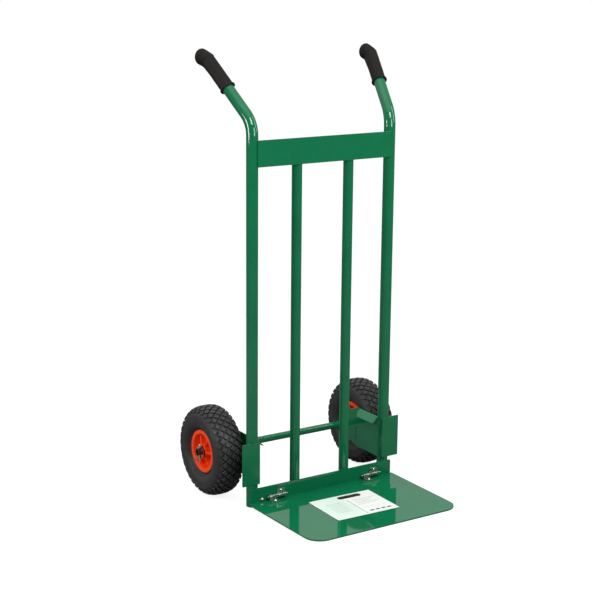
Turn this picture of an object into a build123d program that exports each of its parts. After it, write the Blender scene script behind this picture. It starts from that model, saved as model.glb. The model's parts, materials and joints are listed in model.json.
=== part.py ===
from build123d import *
import os
from math import asin, atan2, cos, degrees, hypot, radians, sin

os.makedirs("parts", exist_ok=True)

# Two-wheeled hand truck with a folding toe plate.  Millimetres.
# The truck is modelled square to its own uprights: X across, Y from the uprights' axis towards the
# wheels, Z along the uprights, with Z = 0 at the underside of the toe plate.  stand() then sets it
# on the floor, on its tyres, the feet of its uprights and the lip of the toe plate, with its origin
# under its middle.

# ---------------------------------------------------------------- frame tubes
upright_gap = 443.4          # between the axes of the two uprights
upright_r = 16.0
upright_wall = 2.0
bar_gap = 166.6              # between the axes of the two middle bars
bar_r = 14.0
bar_wall = 1.5
handle_out = 41.8            # run of the leaning stretch, from its bend to the grip's bend
handle_back = 153.0
handle_rise = 151.0
tip_out = 3.3                # run of the last stretch, from the grip's bend to the grip's tip
tip_back = 35.0
tip_rise = 9.4
bend_r = 75.0
grip_bend_r = 42.0

# ---------------------------------------------------------------- sheet steel
sheet = 3.0
top_plate_top = 1000.0
bend_rise = 44.0             # from the top plate to where the uprights start to lean back
top_plate_height = 70.5
top_plate_inset = 6.7        # of its ends from the uprights' axes
sheet_corner_r = 3.0
flange_height = 44.5
flange_overhang = 16.3       # past the uprights' axes
bar_setback = 8.0            # of a bar's ends from the far edges of the two plates

# ---------------------------------------------------------------- toe plate
toe_depth = 319.7
toe_overhang = 21.3          # of its rear corners past the uprights' axes
toe_taper = 3.0              # of each side, from its rear to its lip
toe_sheet = 4.0
toe_corner_r = 45.0
toe_rear_r = 3.0
seat_gap = 0.3               # between a piece and the piece it rests on
label_width = 197.0
label_depth = 153.0
label_sheet = 0.4
label_back = 154.7           # from the flange to the label's middle
label_turn = -1.9
label_corner_r = 2.0

# ---------------------------------------------------------------- toe plate hinges
hinge_left_inset = 67.2      # of a hinge's middle from the upright's axis
hinge_right_inset = 58.2
hinge_pin_r = 3.5
hinge_pin_length = 66.0
hinge_fit = 0.08             # radial, between the pin and an eye that turns on it
hinge_eye_r = 6.0
hinge_eye_lift = 5.0         # of the eye over the toe plate
hinge_eye_length = 26.0
hinge_eye_parting = 1.0      # between the fixed eye and the moving eye
hinge_leaf = 3.0
hinge_leaf_margin = 1.7      # of a leaf past a screw's head
hinge_leaf_r = 7.0
hinge_screw_clear = 0.7      # between an eye and a screw's head
hinge_screw_r = 3.0
hinge_screw_slip = 0.1       # radial, of screws and rivets in their holes
hinge_screw_head_r = 4.8
hinge_screw_head = 3.2
nut_across = 10.0
nut_height = 5.0
stop_bolt_inset = 20.7       # from the left upright's axis
stop_bolt_lift = 6.0         # of its axis over the toe plate
stop_bolt_head_r = 5.5
stop_bolt_head = 6.0

# ---------------------------------------------------------------- wheel brackets
bracket_bottom = 56.0
bracket_top = 176.5
bracket_lead = 5.0           # of the web past the uprights' axis, towards the front
bracket_taper_start = 100.0  # behind the uprights' axis
bracket_tail = 30.0          # past the axle
bracket_tail_height = 62.0
bracket_corner_r = 14.0
lip_run = 18.0               # of the sloping lip, towards the middle
lip_drop = 18.0
lip_length = 88.0
lip_chamfer = 9.0
wing_inset = 14.7            # of the wing plate's inboard edge from the upright's axis
wing_width = 56.0

# ---------------------------------------------------------------- axle and wheels
axle_back = 161.3            # behind the uprights' axis
axle_drop = 16.0             # of the axle's height over the toe plate's underside, from a wheel's radius
axle_r = 10.0
axle_bore_r = 6.5
axle_stub = 47.4             # of the axle past the middle of a wheel
axle_slip = 0.1              # radial, of pieces that are pushed onto the axle
wheel_out = 34.9             # of a wheel's middle from the upright's axis
wheel_r = 128.0
tyre_width = 86.4
tyre_wall = 6.5
bead_height = 8.0
bead_width = 9.75
rim_width = 64.0
rim_flange = 5.0
rim_flange_r = 61.5
rim_lip_r = 2.2
rim_draft = 1.0
bead_seat_r = 52.0
barrel = 5.0
disc_face = 12.0             # from the wheel's middle plane
disc = 4.0
hub_r = 19.0
hub_face = 30.0
rib_count = 6
rib = 4.0
rib_rise = 10.0
rib_root = 1.0               # of a rib's ends into the hub and the barrel
sleeve_r = 13.0
sleeve_length = 68.0
sleeve_fit = 0.05            # radial, running on the axle
sleeve_slip = 0.1
spacer_r = 15.0
washer_r = 17.0
washer = 2.5
split_pin_r = 2.0
split_pin_slip = 0.2
split_pin_eye_r = 4.5
split_pin_leg = 26.0
split_pin_long_leg = 40.0
split_pin_splay = 58.0
rim_screw_count = 6          # as many as the ribs, and halfway between them
rim_screw_ring_r = 33.0
rim_screw_r = 2.5
rim_screw_head_r = 4.5
rim_screw_head = 3.0
boss_r = 6.0
tube_wall = 2.0
tube_slack = 5.0             # between the inner tube and the tyre's crown
tube_side_slack = 7.0
valve_r = 3.5
valve_cap_r = 4.5
valve_cap = 11.0
valve_slip = 0.6
valve_tilt = 30.0
valve_root = 8.0             # of the stem over the bead seat, inside the tube
valve_root_x = 1.5           # towards the inboard side
valve_tip_r = 36.0

# ---------------------------------------------------------------- grips
grip_slip = 0.15
grip_wall = 3.15
grip_length = 100.0          # of its straight part, from its collar to its bend
grip_collar_rise = 2.7
grip_collar = 6.0
grip_end_rise = 2.5
grip_flare = 18.0
grip_end_wall = 8.0

# ---------------------------------------------------------------- worked out from the above
upright_x = upright_gap / 2
bar_x = bar_gap / 2
bend_height = top_plate_top + bend_rise
grip_r = upright_r + grip_slip + grip_wall
front_y = -upright_r                     # the plane that all the tubes touch at their front
face_y = front_y - sheet                 # front face of the top plate, flange and brackets
bar_y = front_y + bar_r
toe_rear_y = face_y - seat_gap
toe_front_y = toe_rear_y - toe_depth
hinge_y = face_y - hinge_eye_r
hinge_z = toe_sheet + hinge_eye_lift + hinge_eye_r
wheel_x = upright_x + wheel_out
hinge_hole_r = hinge_screw_r + hinge_screw_slip
hinge_screw_reach = hinge_eye_r + hinge_screw_clear + hinge_screw_head_r
hinge_leaf_reach = hinge_screw_reach + hinge_screw_head_r + hinge_leaf_margin
hinge_left_x = hinge_left_inset - upright_x
hinge_right_x = upright_x - hinge_right_inset
stop_bolt_x = stop_bolt_inset - upright_x
axle_height = wheel_r - axle_drop
axle_end_x = wheel_x + axle_stub
web_out_x = upright_x - upright_r        # outboard face of a bracket's web
web_in_x = web_out_x - sheet
wing_in_x = upright_x - wing_inset
bracket_rear_y = axle_back + bracket_tail
sleeve_end = sleeve_length / 2
half_step = 180 / rib_count
split_pin_x = wheel_x + sleeve_end + seat_gap + washer + split_pin_r + split_pin_slip
rim_half = rim_width / 2
flange_in = rim_half - rim_flange

# Lean of the standing truck: the floor touches the toe plate's lip and both tyres, and the
# uprights reach down to it.
lip_to_axle = axle_back - toe_front_y
lean = asin(wheel_r / hypot(lip_to_axle, axle_height)) - atan2(axle_height, lip_to_axle)
lip_back = toe_front_y * cos(lean) - toe_sheet * sin(lean)
tyre_back = axle_back * cos(lean) - axle_height * sin(lean) + wheel_r
centre_y = -(lip_back + tyre_back) / 2
lift_z = -toe_front_y * sin(lean)
foot_z = -(lift_z + front_y * sin(lean)) / cos(lean)


def stand(piece):
    """A piece of the truck, moved to where it is when the truck stands on the floor."""
    return Location((0, centre_y, lift_z), (degrees(lean), 0, 0)) * piece


def block(low, high):
    """Box between two corners."""
    size = [high[i] - low[i] for i in range(3)]
    middle = [(high[i] + low[i]) / 2 for i in range(3)]
    return Location(middle) * Box(*size)


def rod(start, end, radius):
    """Round bar between two points."""
    run = Vector(*end) - Vector(*start)
    plane = Plane(origin=start, z_dir=run)
    return extrude(plane * Circle(radius), run.length)


def ring(start, end, outer, inner):
    """Round tube between two points."""
    return rod(start, end, outer) - rod(start, end, inner)


def mirrored(piece):
    """The left-hand copy of a right-hand piece."""
    return mirror(piece, about=Plane.YZ)


def swept(path, radius):
    """Round bar along a path."""
    return sweep(Plane(origin=path @ 0, z_dir=path % 0) * Circle(radius), path=path)


# ---------------------------------------------------------------- frame
bend_at = Vector(upright_x, 0, bend_height)
grip_bend = bend_at + Vector(handle_out, handle_back, handle_rise)
grip_tip = grip_bend + Vector(tip_out, tip_back, tip_rise)
lean_way = (grip_bend - bend_at).normalized()
tip_way = (grip_tip - grip_bend).normalized()
tube_end = grip_tip - tip_way * grip_end_wall
grip_start = grip_bend - lean_way * grip_length


def upright():
    """Right-hand upright: one tube from the floor to the handle, bent twice."""
    foot = (upright_x, 0, foot_z)
    path = FilletPolyline(foot, bend_at, grip_bend, tube_end, radius=[bend_r, grip_bend_r])
    return swept(path, upright_r) - swept(path, upright_r - upright_wall)


def bar(x):
    """Middle bar, from behind the flange to behind the top plate."""
    low = (x, bar_y, bar_setback)
    high = (x, bar_y, top_plate_top - bar_setback)
    return ring(low, high, bar_r, bar_r - bar_wall)


def front_sheet(left, right, bottom, top):
    """Flat sheet on the front of the tubes, with eased corners."""
    outline = RectangleRounded(right - left, top - bottom, sheet_corner_r)
    middle = ((left + right) / 2, front_y, (bottom + top) / 2)
    plane = Plane(origin=middle, x_dir=(1, 0, 0), z_dir=(0, -1, 0))
    return extrude(plane * outline, sheet)


def bracket_web():
    """Web of the right-hand bracket, from the upright's side back to the axle."""
    tail_low = axle_height - bracket_tail_height / 2
    tail_high = axle_height + bracket_tail_height / 2
    corners = [
        (-bracket_lead, bracket_bottom), (bracket_taper_start, bracket_bottom),
        (bracket_rear_y, tail_low), (bracket_rear_y, tail_high),
        (bracket_taper_start, bracket_top), (-bracket_lead, bracket_top)]
    outline = make_face(Polyline(*corners, close=True))
    outline = fillet(outline.vertices().group_by(Axis.X)[-1], bracket_corner_r)
    side = Plane(origin=(web_in_x, 0, 0), x_dir=(0, 1, 0), z_dir=(1, 0, 0))
    return extrude(side * outline, sheet)


def bracket_lip():
    """Lip that slopes down from the top of the web, with its rear corner cut off."""
    root_x = web_in_x + sheet / 2
    edge_x = web_in_x - lip_run
    edge_z = bracket_top - lip_drop
    section = make_face(Polyline(
        (web_in_x, bracket_top), (edge_x, edge_z), (edge_x, edge_z - sheet),
        (root_x, bracket_top - 2 * sheet), (root_x, bracket_top), close=True))
    across = Plane(origin=(0, lip_length, 0), x_dir=(1, 0, 0), z_dir=(0, -1, 0))
    lip = extrude(across * section, lip_length)
    plan = make_face(Polyline(
        (root_x, 0), (edge_x, 0), (edge_x, lip_length - lip_chamfer),
        (edge_x + lip_chamfer, lip_length), (root_x, lip_length), close=True))
    return lip & extrude(plan, bracket_top)


def wheel_bracket():
    """Right-hand bracket, which carries the axle."""
    hole = rod((0, axle_back, axle_height), (upright_x, axle_back, axle_height),
               axle_r + axle_slip)
    return bracket_web() + bracket_lip() - hole


def axle():
    """Hollow axle, cross-drilled at each end for its split pin."""
    shape = ring((-axle_end_x, axle_back, axle_height), (axle_end_x, axle_back, axle_height),
                 axle_r, axle_bore_r)
    for x in (-split_pin_x, split_pin_x):
        low = (x, axle_back, axle_height - 2 * axle_r)
        high = (x, axle_back, axle_height + 2 * axle_r)
        shape -= rod(low, high, split_pin_r + split_pin_slip)
    return shape


def on_axle(near, far, outer, inner):
    """Ring on the right-hand end of the axle."""
    return ring((near, axle_back, axle_height), (far, axle_back, axle_height), outer, inner)


def split_pin():
    """Right-hand split pin: an eye over the axle, and two legs spread below it."""
    centre = Vector(split_pin_x, axle_back, axle_height)
    eye_at = centre + Vector(0, 0, axle_r + split_pin_eye_r + split_pin_r)
    knee = centre - Vector(0, 0, axle_r + split_pin_r)
    leg_end = centre - Vector(0, 0, axle_r + split_pin_leg)
    splay = radians(split_pin_splay)
    long_end = knee + Vector(0, sin(splay), -cos(splay)) * split_pin_long_leg
    eye = Location(eye_at, (0, 90, 0)) * Torus(split_pin_eye_r, split_pin_r)
    straight = rod(eye_at - Vector(0, 0, split_pin_eye_r), leg_end, split_pin_r)
    long_leg = rod(knee, long_end, split_pin_r)
    return eye + straight + long_leg + Location(knee) * Sphere(split_pin_r)


def grip():
    """Right-hand grip: a sleeve with a collar, a bend and a flared closed end."""
    path = FilletPolyline(grip_start, grip_bend, grip_tip, radius=grip_bend_r)
    collar = rod(grip_start, grip_start + lean_way * grip_collar, grip_r + grip_collar_rise)
    flare_plane = Plane(origin=grip_tip - tip_way * grip_flare, z_dir=tip_way)
    flare = loft([flare_plane * Circle(grip_r),
                  flare_plane.offset(grip_flare) * Circle(grip_r + grip_end_rise)])
    inside = FilletPolyline(bend_at, grip_bend, tube_end + tip_way * seat_gap, radius=grip_bend_r)
    return swept(path, grip_r) + collar + flare - swept(inside, upright_r + grip_slip)


# ---------------------------------------------------------------- toe plate and hinges
def toe_plate():
    """Flat plate, a little narrower at the lip, with wide corners there."""
    rear = upright_x + toe_overhang
    front = rear - toe_taper
    corners = [(-rear, toe_rear_y), (-front, toe_front_y), (front, toe_front_y), (rear, toe_rear_y)]
    outline = make_face(Polyline(*corners, close=True))
    rows = outline.vertices().group_by(Axis.Y)
    outline = fillet(rows[0], toe_corner_r)
    rows = outline.vertices().group_by(Axis.Y)
    outline = fillet(rows[-1], toe_rear_r)
    return extrude(outline, toe_sheet)


def label():
    """Blank label on the toe plate, stuck on a little askew."""
    outline = RectangleRounded(label_width, label_depth, label_corner_r)
    place = Location((0, face_y - label_back, toe_sheet), (0, 0, label_turn))
    return extrude(place * outline, label_sheet)


def eye(x):
    """Hinge eye of a leaf that starts at x, with a bore that turns on the pin."""
    start = (x, hinge_y, hinge_z)
    end = (x + hinge_eye_length, hinge_y, hinge_z)
    return rod(start, end, hinge_eye_r), rod(start, end, hinge_pin_r + hinge_fit)


def flange_leaf(middle_x):
    """Fixed half of a hinge, standing on the front of the flange."""
    x = middle_x + hinge_eye_parting / 2
    outer, bore = eye(x)
    height = hinge_leaf_reach
    outline = Rectangle(hinge_eye_length, height)
    outline = fillet(outline.vertices().group_by(Axis.Y)[-1], hinge_leaf_r)
    hole_x = x + hinge_eye_length / 2
    hole_z = hinge_z + hinge_screw_reach
    middle = Plane(origin=(hole_x, face_y, hinge_z + height / 2), x_dir=(1, 0, 0), z_dir=(0, -1, 0))
    leaf = extrude(middle * outline, hinge_leaf)
    hole = rod((hole_x, face_y, hole_z), (hole_x, face_y - hinge_leaf, hole_z), hinge_hole_r)
    return leaf + outer - bore - hole


def plate_leaf(middle_x):
    """Moving half of a hinge, lying on the toe plate."""
    x = middle_x - hinge_eye_parting / 2 - hinge_eye_length
    outer, bore = eye(x)
    depth = hinge_leaf_reach + hinge_leaf
    outline = Rectangle(hinge_eye_length, depth)
    outline = fillet(outline.vertices().group_by(Axis.Y)[0], hinge_leaf_r)
    middle_y = hinge_y + hinge_leaf - depth / 2
    leaf = Location((x + hinge_eye_length / 2, middle_y, toe_sheet)) * extrude(outline, hinge_leaf)
    neck = block((x, hinge_y - hinge_leaf, toe_sheet + hinge_leaf / 2),
                 (x + hinge_eye_length, hinge_y + hinge_leaf, hinge_z))
    hole_x = x + hinge_eye_length / 2
    hole_y = hinge_y - hinge_screw_reach
    hole = rod((hole_x, hole_y, toe_sheet), (hole_x, hole_y, toe_sheet + hinge_leaf), hinge_hole_r)
    return leaf + neck + outer - bore - hole


def hinge_pin(middle_x):
    """Pin through both eyes, fast in the fixed one."""
    half = hinge_pin_length / 2
    return rod((middle_x - half, hinge_y, hinge_z), (middle_x + half, hinge_y, hinge_z),
               hinge_pin_r)


def dome(seat, way, radius, height):
    """Round head that stands on a face, flat underneath."""
    big = (radius ** 2 + height ** 2) / (2 * height)
    start = Vector(*seat)
    ball = Location(start + Vector(*way) * (height - big)) * Sphere(big)
    return ball & rod(start, start + Vector(*way) * (2 * height), radius)


def nut(seat):
    """Hexagon nut behind the flange."""
    plane = Plane(origin=seat, z_dir=(0, 1, 0))
    outline = RegularPolygon(nut_across / 2, 6, major_radius=False) - Circle(hinge_hole_r)
    return extrude(plane * outline, nut_height)


def flange_bolt(x, z, leaf, head_r, head):
    """Dome-headed bolt through the flange, the hole that it needs there, and its nut."""
    seat = (x, face_y - leaf, z)
    shank = rod(seat, (x, front_y + nut_height + sheet, z), hinge_screw_r)
    hole = rod((x, face_y, z), (x, front_y, z), hinge_hole_r)
    bolt = dome(seat, (0, -1, 0), head_r, head) + shank
    return bolt, hole, nut((x, front_y, z))


def plate_rivet(middle_x):
    """Rivet through a moving leaf, flush under the toe plate, and the hole that it needs there."""
    x = middle_x - (hinge_eye_parting + hinge_eye_length) / 2
    y = hinge_y - hinge_screw_reach
    seat = (x, y, toe_sheet + hinge_leaf)
    rivet = dome(seat, (0, 0, 1), hinge_screw_head_r, hinge_screw_head)
    rivet += rod((x, y, 0), seat, hinge_screw_r)
    return rivet, rod((x, y, 0), (x, y, toe_sheet), hinge_hole_r)


# ---------------------------------------------------------------- wheels
# A wheel is modelled round the X axis, with its outboard side towards +X, and then placed.
def turned(outline):
    """Ring round the X axis from its section, drawn as X against radius."""
    return revolve(outline, axis=Axis.X)


def tyre_point(across, up, inset):
    """Point of the tyre's section, as shares of its half width and of its height over the rim."""
    half = tyre_width / 2 - inset
    height = wheel_r - rim_flange_r - inset
    return Vector(across * half, rim_flange_r + up * height)


def tyre_side(start, inset):
    """Right-hand side of the tyre's section, from a bead over the shoulder to the crown."""
    widest = tyre_point(1, 0.47, inset)
    shoulder = tyre_point(0.79, 0.87, inset)
    crown = tyre_point(0, 1, inset)
    return (TangentArc(widest, start, tangent=(0, -1)) + TangentArc(widest, shoulder, tangent=(0, 1))
            + TangentArc(crown, shoulder, tangent=(1, 0)))


def tyre():
    """Tyre with two beads; its tread blocks are left to the finished model."""
    bead_in = flange_in - seat_gap
    foot = bead_seat_r + seat_gap
    toe = bead_in - bead_width
    heel = (bead_in, rim_flange_r + seat_gap)
    outer = Line((toe, foot), (bead_in, foot)) + Line((bead_in, foot), heel) + tyre_side(heel, 0)
    tip = (toe, foot + bead_height)
    inner = Line((toe, foot), tip) + tyre_side(tip, tyre_wall)
    crown = Line(tyre_point(0, 1, tyre_wall), tyre_point(0, 1, 0))
    right = make_face((outer + inner + crown).edges())
    return turned(right + mirror(right, about=Plane.YZ))


def inner_tube():
    """Air-filled tube, an oval ring inside the tyre."""
    crown = wheel_r - tyre_wall
    half_high = (crown - bead_seat_r) / 2 - tube_slack
    half_wide = tyre_width / 2 - tyre_wall - tube_side_slack
    middle = Location((0, (crown + bead_seat_r) / 2))
    section = middle * Ellipse(half_wide, half_high)
    section -= middle * Ellipse(half_wide - tube_wall, half_high - tube_wall)
    start, end, _ = valve_line()
    return turned(section) - rod(start, end, valve_r)


def rib_plate():
    """One rib of a rim half, from the hub to the barrel, before it is turned into place."""
    low_r = hub_r - rib_root
    high_r = bead_seat_r - barrel - rib_root
    base = disc_face - disc / 2
    outline = make_face(Polyline(
        (base, low_r), (hub_face, low_r), (disc_face + rib_rise, high_r), (base, high_r),
        close=True))
    return Location((0, 0, -rib / 2)) * extrude(outline, rib)


def around_axle(piece, count, start_angle):
    """Copies of a piece, evenly spaced round the X axis."""
    step = 360 / count
    return [Location((0, 0, 0), (start_angle + i * step, 0, 0)) * piece for i in range(count)]


def rim_outboard():
    """Outboard half of the rim: flange, barrel, recessed disc, hub and ribs."""
    inner_r = bead_seat_r - barrel
    points = [
        (0, bead_seat_r), (flange_in, bead_seat_r), (flange_in, rim_flange_r),
        (rim_half, rim_flange_r), (rim_half, bead_seat_r - 2 * rim_draft),
        (disc_face, inner_r - rim_draft),
        (disc_face, hub_r), (hub_face, hub_r), (hub_face, sleeve_r + sleeve_slip),
        (0, sleeve_r + sleeve_slip), (0, hub_r), (disc_face - disc, hub_r),
        (disc_face - disc, inner_r - 2 * rim_draft), (0, inner_r)]
    outline = make_face(Polyline(*points, close=True))
    lip = outline.vertices().filter_by(
        lambda v: v.X > rim_half - rim_draft or v.Y > rim_flange_r - rim_draft)
    outline = fillet(lip, rim_lip_r)
    shape = turned(outline)
    for piece in around_axle(rib_plate(), rib_count, 0):
        shape += piece
    boss = rod((0, rim_screw_ring_r, 0), (disc_face - disc / 2, rim_screw_ring_r, 0), boss_r)
    for piece in around_axle(boss, rim_screw_count, half_step):
        shape += piece
    hole = rod((0, rim_screw_ring_r, 0), (rim_half, rim_screw_ring_r, 0), rim_screw_r + sleeve_slip)
    for piece in around_axle(hole, rim_screw_count, half_step):
        shape -= piece
    return shape


def rim_screws():
    """Screws that clamp the two halves, with their heads on the inboard side."""
    head = rod((-disc_face - rim_screw_head, rim_screw_ring_r, 0),
               (-disc_face, rim_screw_ring_r, 0), rim_screw_head_r)
    shank = rod((-disc_face, rim_screw_ring_r, 0), (disc_face / 2, rim_screw_ring_r, 0), rim_screw_r)
    return Compound(children=around_axle(head + shank, rim_screw_count, half_step))


def valve_line():
    """Start, end and way of the valve stem, between a rib and a boss, leaning inboard."""
    tilt = radians(valve_tilt)
    length = (bead_seat_r + valve_root - valve_tip_r) / cos(tilt)
    way = Vector(-sin(tilt), -cos(tilt), 0).rotate(Axis.X, half_step / 2)
    start = Vector(-valve_root_x, bead_seat_r + valve_root, 0).rotate(Axis.X, half_step / 2)
    return start, start + way * length, way


def valve():
    """Valve stem of the inner tube with its cap."""
    start, end, way = valve_line()
    return rod(start, end, valve_r) + rod(end - way * valve_cap, end, valve_cap_r)


def valve_hole():
    """Clearance for the valve through the rim."""
    start, end, way = valve_line()
    return rod(start, end + way * valve_cap, valve_cap_r + valve_slip)


def wheel():
    """Every piece of the right-hand wheel, round the X axis, by name."""
    outer = rim_outboard()
    inner = mirrored(outer) - valve_hole()
    sleeve = ring((-sleeve_end, 0, 0), (sleeve_end, 0, 0), sleeve_r, axle_r + sleeve_fit)
    return {
        "tyre": tyre(),
        "inner_tube": inner_tube(),
        "rim_outer": outer - valve_hole(),
        "rim_inner": inner,
        "hub_sleeve": sleeve,
        "rim_screws": rim_screws(),
        "valve": valve(),
    }


# ---------------------------------------------------------------- all the pieces, by name
pieces = {
    "right_upright": upright(),
    "left_bar": bar(-bar_x),
    "right_bar": bar(bar_x),
    "top_plate": front_sheet(top_plate_inset - upright_x, upright_x - top_plate_inset,
                             top_plate_top - top_plate_height, top_plate_top),
    "right_wheel_bracket": wheel_bracket(),
    "right_wing_plate": front_sheet(wing_in_x, wing_in_x + wing_width, bracket_bottom,
                                    bracket_top),
    "axle": axle(),
    "right_grip": grip(),
    "right_split_pin": split_pin(),
    "blank_label": label(),
}
for name, piece in wheel().items():
    pieces["right_" + name] = Location((wheel_x, axle_back, axle_height)) * piece
handed = [name for name in pieces if name.startswith("right_") and name != "right_bar"]
for name in handed:
    pieces[name.replace("right_", "left_")] = mirrored(pieces[name])

spacer = on_axle(web_out_x, wheel_x - sleeve_end - seat_gap, spacer_r, axle_r + axle_slip)
washer_x = wheel_x + sleeve_end + seat_gap
end_washer = on_axle(washer_x, washer_x + washer, washer_r, axle_r + axle_slip)
pieces["axle_spacers"] = Compound(children=[spacer, mirrored(spacer)])
pieces["axle_washers"] = Compound(children=[end_washer, mirrored(end_washer)])

hinge_bolts = []
rivets = []
flange_holes = []
plate_holes = []
nuts = []
for side, x in (("left", hinge_left_x), ("right", hinge_right_x)):
    pieces[side + "_hinge_flange_leaf"] = flange_leaf(x)
    pieces[side + "_hinge_plate_leaf"] = plate_leaf(x)
    pieces[side + "_hinge_pin"] = hinge_pin(x)
    bolt_x = x + (hinge_eye_parting + hinge_eye_length) / 2
    bolt, hole, bolt_nut = flange_bolt(bolt_x, hinge_z + hinge_screw_reach, hinge_leaf,
                                       hinge_screw_head_r, hinge_screw_head)
    hinge_bolts.append(bolt)
    flange_holes.append(hole)
    nuts.append(bolt_nut)
    rivet, hole = plate_rivet(x)
    rivets.append(rivet)
    plate_holes.append(hole)
stop_bolt, hole, bolt_nut = flange_bolt(stop_bolt_x, toe_sheet + stop_bolt_lift, 0,
                                        stop_bolt_head_r, stop_bolt_head)
flange_holes.append(hole)
nuts.append(bolt_nut)

flange_end = upright_x + flange_overhang
flange = front_sheet(-flange_end, flange_end, 0, flange_height)
pieces["base_flange"] = flange - Compound(children=flange_holes)
pieces["toe_plate"] = toe_plate() - Compound(children=plate_holes)
pieces["stop_bolt"] = stop_bolt
pieces["hinge_bolts"] = Compound(children=hinge_bolts)
pieces["hinge_rivets"] = Compound(children=rivets)
pieces["flange_nuts"] = Compound(children=nuts)

for name, piece in pieces.items():
    solids = [stand(solid) for solid in piece.solids()]
    export_step(Compound(solids), f"parts/{name}.step")
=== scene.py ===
import json
from collections import namedtuple
from math import atan2, ceil, cos, pi, radians, sin, tan

import bmesh
import bpy
from bpy.props import FloatProperty, FloatVectorProperty, IntProperty, PointerProperty
from bpy.types import Operator, Panel, PropertyGroup
from mathutils import Matrix, Vector


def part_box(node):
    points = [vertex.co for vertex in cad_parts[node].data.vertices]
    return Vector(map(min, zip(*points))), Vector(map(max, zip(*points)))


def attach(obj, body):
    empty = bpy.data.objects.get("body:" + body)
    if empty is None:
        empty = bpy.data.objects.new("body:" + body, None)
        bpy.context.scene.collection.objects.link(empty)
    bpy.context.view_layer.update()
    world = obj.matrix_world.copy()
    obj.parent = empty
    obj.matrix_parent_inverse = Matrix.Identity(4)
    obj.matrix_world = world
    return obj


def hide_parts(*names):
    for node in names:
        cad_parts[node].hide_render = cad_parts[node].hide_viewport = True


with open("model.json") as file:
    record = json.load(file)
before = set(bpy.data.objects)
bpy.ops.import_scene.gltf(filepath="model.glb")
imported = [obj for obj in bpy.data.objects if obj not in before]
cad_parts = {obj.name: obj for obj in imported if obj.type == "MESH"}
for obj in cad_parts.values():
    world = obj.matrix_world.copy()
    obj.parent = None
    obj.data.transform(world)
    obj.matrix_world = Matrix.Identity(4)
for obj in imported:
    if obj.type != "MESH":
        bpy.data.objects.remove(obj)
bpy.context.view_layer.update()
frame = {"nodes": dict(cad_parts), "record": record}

bl_info = {
    "name": "Folding Hand Truck",
    "version": (1, 0, 0),
    "blender": (4, 5, 0),
    "location": "View3D > Sidebar > Hand Truck",
    "description": "Finishes a two-wheeled hand truck with pneumatic tyres and a folding toe plate",
    "category": "Add Mesh",
}

SIDES = (("left", -1), ("right", 1))

# ---------------------------------------------------------------- sizes that the frame shares
# Metres, square to the truck's own uprights: X across, Y from the uprights' axis towards the
# wheels, Z along the uprights, with Z = 0 at the underside of the toe plate.
UPRIGHT_X = 0.2217
UPRIGHT_R = 0.016
BAR_X = 0.0833
BAR_R = 0.014
SHEET = 0.003
FRONT_Y = -UPRIGHT_R
FACE_Y = FRONT_Y - SHEET
FLANGE_TOP = 0.0445
TOP_PLATE_LOW = 0.9295
TOP_PLATE_HIGH = 1.0
BAR_LOW = 0.008
BAR_HIGH = 0.992
BRACKET_LOW = 0.056
BRACKET_HIGH = 0.1765
WEB_OUT = UPRIGHT_X - UPRIGHT_R
WEB_IN = WEB_OUT - SHEET
AXLE_BACK = 0.1613
AXLE_HEIGHT = 0.112
AXLE_R = 0.01
TOE_SHEET = 0.004
LABEL_SIZE = (0.197, 0.153)
LABEL_BACK = 0.1547
LABEL_TURN = radians(-1.9)
LABEL_SHEET = 0.0004
HANDLE_BEND = Vector((UPRIGHT_X, 0, 1.044))
GRIP_BEND = HANDLE_BEND + Vector((0.0418, 0.153, 0.151))
GRIP_TIP = GRIP_BEND + Vector((0.0033, 0.035, 0.0094))
GRIP_BEND_R = 0.042
TYRE_LOW, TYRE_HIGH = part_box("right_tyre")
WHEEL_R = (TYRE_HIGH.z - TYRE_LOW.z) / 2 - 0.0001
TYRE_HALF = (TYRE_HIGH.x - TYRE_LOW.x) / 2
RIM_HALF = 0.032
RIM_FLANGE_R = 0.0615
RIM_FLANGE = 0.005
BEAD_SEAT_R = 0.052
BARREL = 0.005
DISC_FACE = 0.012
DISC = 0.004
HUB_R = 0.019
HUB_FACE = 0.03
SLEEVE_BORE = 0.0131
BEAD_FACE = RIM_HALF - RIM_FLANGE - 0.0003
RIB_COUNT = 6
SCREW_RING_R = 0.033


def standing():
    """Place of the truck's own axes in the frame: leant with the toe plate's face, on its axle."""
    mount = next(m for m in frame["record"]["mounts"] if m["name"] == "load_plate")
    turn = Matrix.Rotation(atan2(-mount["axis"][1], mount["axis"][2]), 4, "X")
    low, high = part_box("axle")
    shift = (low + high) / 2 - turn @ Vector((0, AXLE_BACK, AXLE_HEIGHT))
    return Matrix.Translation(shift) @ turn


STANDING = standing()


def wheel_place(side):
    """Place of a wheel's middle in the frame; its outboard side is towards +X before that."""
    low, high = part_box(side + "_tyre")
    flip = Matrix.Scale(-1, 4, (1, 0, 0)) if side == "left" else Matrix.Identity(4)
    return Matrix.Translation((low + high) / 2) @ flip


# ---------------------------------------------------------------- sizes and colours to change
def linear(code):
    """Linear colour of an sRGB hex value."""
    parts = [int(code[i:i + 2], 16) / 255 for i in (1, 3, 5)]
    return tuple(p / 12.92 if p <= 0.04045 else ((p + 0.055) / 1.055) ** 2.4 for p in parts)


def colour(name, description, code):
    """A colour that a user can change."""
    return FloatVectorProperty(name=name, description=description, default=linear(code),
                               subtype="COLOR", min=0, max=1)


def size(name, description, default):
    """A length that a user can change."""
    return FloatProperty(name=name, description=description, default=default, min=0,
                         unit="LENGTH", subtype="DISTANCE", precision=4)


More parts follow.
